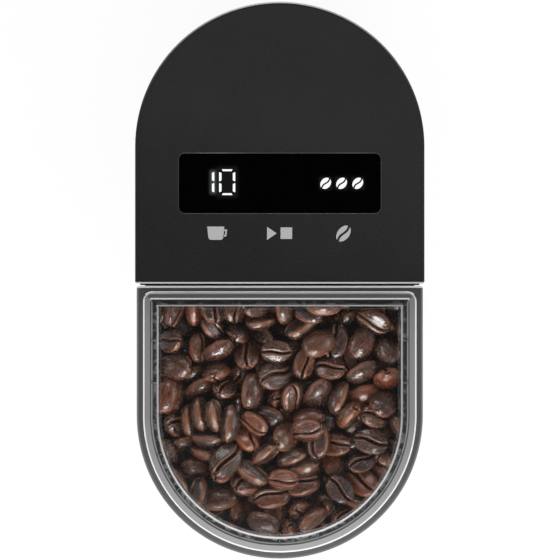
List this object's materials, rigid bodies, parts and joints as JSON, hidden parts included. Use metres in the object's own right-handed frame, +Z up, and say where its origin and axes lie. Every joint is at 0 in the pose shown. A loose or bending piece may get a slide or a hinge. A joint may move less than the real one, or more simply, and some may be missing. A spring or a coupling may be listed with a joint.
{
  "type": "burr coffee grinder",
  "caption": "Upright burr coffee grinder with a smoked bean hopper under a clear lid, a black display housing and a grounds container on a weighing plate.",
  "frame": {"origin": "on the floor, below the middle of the footprint", "axes": "+X to the user's right, +Y to the rear where the display is, +Z up"},
  "size_m": [0.131, 0.2536, 0.388],
  "materials": {
    "rubber": "soft matte",
    "screws": "zinc plated",
    "base_plastic": "fine satin texture",
    "panel_plastic": "fine spark-eroded texture",
    "body_plastic": "satin, lightly grained",
    "plate_steel": "brushed",
    "clear_plastic": "clear and polished",
    "smoked_plastic": "smoked and polished",
    "seal_rubber": "soft silicone",
    "lid_plastic": "satin",
    "beans": "roasted, slightly oily",
    "window": "polished black",
    "digits": "diffusing",
    "boards": "solder mask",
    "contact_foam": "conductive foam",
    "motor_steel": "zinc plated",
    "end_bell": "moulded",
    "magnets": "ferrite",
    "armature": "laminations with copper coils",
    "shaft_steel": "ground",
    "gear_steel": "sintered",
    "gear_nylon": "nylon",
    "cast_aluminium": "as cast",
    "case_plastic": "glass-filled",
    "burr_steel": "hardened and ground",
    "dial_plastic": "knurled satin"
  },
  "bodies": {
    "housing": {"rubber_feet": "rubber", "base_screws": "screws", "base_plate": "base_plastic", "base_tub": "base_plastic", "cord_gland": "rubber", "load_cell": "cast_aluminium", "load_cell_screws": "screws", "bay_wall": "panel_plastic", "rear_cover": "body_plastic", "tie_rods": "screws", "power_board": "boards", "motor_can": "motor_steel", "motor_end_bell": "end_bell", "motor_magnets": "magnets", "motor_brushes": "end_bell", "motor_screws": "screws", "gear_case": "case_plastic", "drive_plate": "cast_aluminium", "drive_screws": "screws", "drive_dampers": "rubber", "idler_pin": "shaft_steel", "burr_bearings": "shaft_steel", "grind_chamber": "case_plastic", "chamber_screws": "screws", "grounds_chute": "case_plastic", "dial_post": "cast_aluminium", "head_shell": "body_plastic", "hopper_deck": "panel_plastic", "deck_screws": "screws", "interlock_switch": "case_plastic", "display_housing": "panel_plastic", "housing_screws": "screws", "display_window": "window", "digit_module": "digits", "display_board": "boards", "touch_pads": "contact_foam"},
    "hopper": {"hopper": "smoked_plastic", "coffee_beans": "beans"},
    "hopper_lid": {"hopper_lid": "clear_plastic", "lid_seal": "seal_rubber"},
    "burr_rotor": {"burr_gear": "gear_steel", "burr_shaft": "shaft_steel", "burr_nut": "shaft_steel", "lower_burr_carrier": "cast_aluminium", "lower_burr": "burr_steel", "lower_burr_screws": "screws"},
    "idler": {"idler_gear": "gear_nylon"},
    "motor_rotor": {"motor_shaft": "shaft_steel", "motor_armature": "armature", "motor_pinion": "gear_steel"},
    "dial": {"grind_dial": "dial_plastic"},
    "setting_ring": {"adjusting_ring": "gear_nylon"},
    "upper_burr_set": {"upper_burr": "burr_steel", "upper_burr_screws": "screws", "upper_burr_carrier": "case_plastic"},
    "scale_platform": {"scale_frame": "base_plastic", "scale_plate": "plate_steel"},
    "container": {"grounds_container": "clear_plastic"},
    "container_cover": {"container_lid": "lid_plastic"}
  },
  "joints": [
    {"name": "hopper_lift", "type": "slide", "parent": "housing", "child": "hopper", "axis": [0, 0, 1], "range_m": [0, 0.09]},
    {"name": "hopper_lid_lift", "type": "slide", "parent": "hopper", "child": "hopper_lid", "axis": [0, 0, 1], "range_m": [0, 0.06]},
    {"name": "burr_spin", "type": "hinge", "parent": "housing", "child": "burr_rotor", "pos_m": [0, -0.0308, 0.249], "axis": [0, 0, 1], "continuous": true},
    {"name": "idler_spin", "type": "hinge", "parent": "housing", "child": "idler", "pos_m": [0, 0.01045, 0.2145], "axis": [0, 0, 1], "continuous": true},
    {"name": "motor_spin", "type": "hinge", "parent": "housing", "child": "motor_rotor", "pos_m": [0, 0.04145, 0.137], "axis": [0, 0, 1], "continuous": true},
    {"name": "grind_dial_turn", "type": "hinge", "parent": "housing", "child": "dial", "pos_m": [0.051, 0.00081, 0.2866], "axis": [0, 0, 1], "range_deg": [-95.5, 95.5]},
    {"name": "setting_ring_turn", "type": "hinge", "parent": "housing", "child": "setting_ring", "pos_m": [0, -0.0308, 0.278], "axis": [0, 0, 1], "range_deg": [-18.6, 18.6]},
    {"name": "upper_burr_travel", "type": "slide", "parent": "housing", "child": "upper_burr_set", "axis": [0, 0, 1], "range_m": [-0.00076, 0.00076]},
    {"name": "scale_press", "type": "slide", "parent": "housing", "child": "scale_platform", "axis": [0, 0, -1], "range_m": [0, 0.0005], "stiffness_N_per_m": 30000, "springref_m": -0.0002, "deforming": ["load_cell"]},
    {"name": "container_pull", "type": "slide", "parent": "scale_platform", "child": "container", "axis": [0, -1, 0], "range_m": [0, 0.2]},
    {"name": "container_lid_lift", "type": "slide", "parent": "container", "child": "container_cover", "axis": [0, 0, 1], "range_m": [0, 0.016]}
  ],
  "couplings": [
    {"joint": "idler_spin", "follows": "burr_spin", "ratio": -3.125},
    {"joint": "motor_spin", "follows": "burr_spin", "ratio": 13.021},
    {"joint": "grind_dial_turn", "follows": "upper_burr_travel", "rad_per_m": 2181.7},
    {"joint": "setting_ring_turn", "follows": "upper_burr_travel", "rad_per_m": -423.31}
  ]
}
